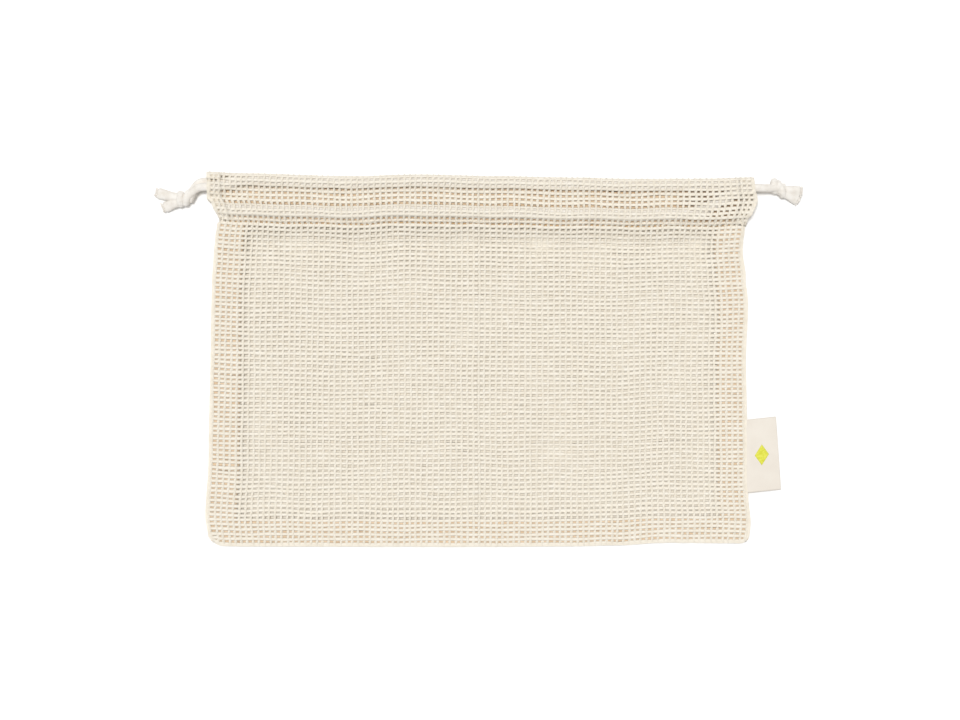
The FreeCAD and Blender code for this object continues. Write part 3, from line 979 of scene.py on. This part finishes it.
def label_surface(x, y, z):
    """Lays the tape's points down: it droops away from the seam and both its ends run askew."""
    out = np.clip((x - HALF_WIDTH) / (label_high.x - HALF_WIDTH), 0, 1)
    up = (y - label_low.y) / (label_high.y - label_low.y)
    droop = 0.5 * MM * out * np.sin(3 * up - 0.2) - 1.2 * MM * out ** 2
    askew = (1.8 * out - 0.5) * MM * (1 - up) + (2 * out - 1.3) * MM * up
    return np.stack([x, y + askew, z + droop], -1)


def tape_loop(tip, out):
    """A section of folded tape as a closed loop of (x, z): half out over the top and back."""
    x = np.linspace(TAPE_ROOT, tip, 16)
    angle = np.linspace(0.5 * math.pi, -0.5 * math.pi, 9)[1:-1]
    over = np.stack([x, np.full_like(x, TAPE_MIDDLE + out)], -1)
    bend = np.stack([tip + out * np.cos(angle), TAPE_MIDDLE + out * np.sin(angle)], -1)
    back = np.stack([x[::-1], np.full_like(x, TAPE_MIDDLE - out)], -1)
    return np.concatenate([over, bend, back])


def make_label():
    """Tape folded on itself, with its two ends in the side seam."""
    rings = []
    for up in np.linspace(0, 1, TAPE_RINGS):
        tip = TAPE_TIP - TAPE_TAPER * up
        outer = tape_loop(tip, TAPE_GAP / 2 + TAPE_THICK)
        inner = tape_loop(tip, TAPE_GAP / 2)[::-1]
        loop = np.concatenate([outer, inner])
        y = np.full(len(loop), mix(label_low.y, label_high.y, up))
        rings.append(label_surface(loop[:, 0], y, loop[:, 1]))
    rings = np.array(rings)
    count, sides = rings.shape[:2]
    ring, spoke = np.meshgrid(np.arange(count - 1), np.arange(sides), indexing="ij")
    after = (spoke + 1) % sides
    wall = np.stack([ring * sides + spoke, (ring + 1) * sides + spoke, (ring + 1) * sides + after,
                     ring * sides + after], -1).reshape(-1, 4)
    low, high = ring / (count - 1), (ring + 1) / (count - 1)
    uvs = np.stack([low, spoke / sides, high, spoke / sides, high, (spoke + 1) / sides, low,
                    (spoke + 1) / sides], -1).reshape(-1, 4, 2)
    cap = np.array([(k, k + 1, sides - 2 - k, sides - 1 - k) for k in range(sides // 2 - 1)])
    quads = np.concatenate([wall, cap, cap[:, ::-1] + (count - 1) * sides])
    uvs = np.concatenate([uvs, np.full((2 * len(cap), 4, 2), 0.01)])
    part = (rings.reshape(-1, 3), quads, uvs, 2 * len(cap))
    piece = add_piece("label_folded_tape", [part], tape_weave())
    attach(piece, "label")
    stand_for("label")


def make_label_print():
    """A plain diamond of raised print on the tape."""
    n = PRINT_POINTS
    middle = (print_low + print_high) / 2
    reach_x, reach_y = (print_high.x - print_low.x) / 2, (print_high.y - print_low.y) / 2
    a, b = np.meshgrid(np.linspace(-1, 1, n), np.linspace(-1, 1, n), indexing="ij")
    x, y = middle.x + (a + b) / 2 * reach_x, middle.y + (b - a) / 2 * reach_y
    inside = np.minimum(1 - np.abs(a), 1 - np.abs(b))
    level = TAPE_MIDDLE + TAPE_GAP / 2 + TAPE_THICK
    top = label_surface(x, y, level + PRINT_THICK * np.minimum(inside * 5, 1))
    under = label_surface(x, y, np.full_like(x, level - 0.1 * MM))
    points = np.concatenate([top.reshape(-1, 3), under.reshape(-1, 3)])
    row, column = np.meshgrid(np.arange(n - 1), np.arange(n - 1), indexing="ij")
    corner = (row * n + column).ravel()
    face = np.stack([corner, corner + n, corner + n + 1, corner + 1], -1)
    edge = np.concatenate([np.arange(n), np.arange(2, n + 1) * n - 1,
                           n * n - 1 - np.arange(1, n), (n - 1 - np.arange(1, n - 1)) * n])
    after = np.roll(edge, -1)
    wall = np.stack([edge, after, after + n * n, edge + n * n], -1)
    quads = np.concatenate([face, face[:, ::-1] + n * n, wall])
    share = np.stack([(points[:, 0] - middle.x) / reach_x, (points[:, 1] - middle.y) / reach_y], -1)
    uvs = (share / 2 + 0.5)[quads]
    piece = add_piece("label_print_diamond", [(points, quads, uvs, len(wall))], woven_ink())
    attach(piece, "label")
    stand_for("label_print")


# The rows of the back cloth lie half a pitch off those of the front one.
FRONT_RANGE = (0, ROWS * PITCH_Y)
BACK_RANGE = (PITCH_Y / 2, (ROWS + 0.5) * PITCH_Y)

make_cloth("front_net", "front_panel", front_body, HALF_WIDTH, FRONT_RANGE, net_cotton)
make_cloth("back_net", "back_panel", back_body, HALF_WIDTH, BACK_RANGE, net_cotton)
make_bottom_seam()
for place, surface, outward in (("front", front_casing, 1), ("back", back_casing, -1)):
    make_cloth(f"{place}_casing_net", f"{place}_casing", surface, CASING_END, (0, CASING_LENGTH),
               casing_cotton)
    make_stitching(place, surface, outward)
    for side in (-1, 1):
        make_hem(place, surface, outward, side)
for side in (-1, 1):
    make_side_seam(side)
    make_cord(side)
for side, tied in KNOTS.items():
    make_knot(side, tied["wraps"], tied["tails"])
make_label()
make_label_print()


# The studio

SKY_LIGHT = 0.42
KEY_LIGHT = 2.38
KEY_SPREAD = math.radians(12)
KEY_FROM = (-0.12, 0.17, 1.65)
BOUNCES = 20
FLOOR_SIZE = 8
FLOOR_GAP = 0.1 * MM
LENS = 100
SENSOR = 36
CAMERA_PLACE = (0.5 * MM, 0.3 * MM, 1489 * MM + casing_low.z)


def make_floor():
    """A wide pale floor, a little below the bag."""
    bpy.ops.mesh.primitive_plane_add(size=FLOOR_SIZE, location=(0, 0, cad_low.z - FLOOR_GAP))
    floor = bpy.context.object
    floor.name = "floor"
    material, nodes, links, shader = new_material("floor")
    shade = ramp(nodes, links, noise(nodes, links, 3), (0, 1), FLOOR_TONES)
    links.new(shade, shader.inputs["Base Color"])
    shader.inputs["Roughness"].default_value = 0.9
    shader.inputs["Specular IOR Level"].default_value = 0.1
    floor.data.materials.append(material)


def make_sky():
    """Even white light from all round. The camera sees it as a white backdrop."""
    world = bpy.data.worlds.new("studio")
    world.use_nodes = True
    nodes, links = world.node_tree.nodes, world.node_tree.links
    rays = nodes.new("ShaderNodeLightPath")
    strength = nodes.new("ShaderNodeMapRange")
    strength.inputs["To Min"].default_value = SKY_LIGHT
    strength.inputs["To Max"].default_value = 1
    links.new(rays.outputs["Is Camera Ray"], strength.inputs["Value"])
    links.new(strength.outputs["Result"], nodes["Background"].inputs["Strength"])
    nodes["Background"].inputs["Color"].default_value = (1, 1, 1, 1)
    bpy.context.scene.world = world


def make_key():
    """A broad, far light, nearly overhead, from the mouth's left."""
    lamp = bpy.data.lights.new("key", "SUN")
    lamp.energy = KEY_LIGHT
    lamp.angle = KEY_SPREAD
    holder = bpy.data.objects.new("key", lamp)
    holder.rotation_euler = Vector(KEY_FROM).to_track_quat("Z", "Y").to_euler()
    bpy.context.scene.collection.objects.link(holder)


def make_camera():
    """A long lens straight above the bag, as in the photograph."""
    camera = bpy.data.cameras.new("camera")
    camera.lens = LENS
    camera.sensor_width = SENSOR
    holder = bpy.data.objects.new("camera", camera)
    holder.location = CAMERA_PLACE
    bpy.context.scene.collection.objects.link(holder)
    bpy.context.scene.camera = holder


def set_colours():
    """Plain colours, and enough bounces for light to find its way through the layers."""
    scene = bpy.context.scene
    scene.view_settings.view_transform = "Standard"
    scene.cycles.max_bounces = BOUNCES
    scene.cycles.diffuse_bounces = BOUNCES


make_floor()
make_sky()
make_key()
make_camera()
set_colours()
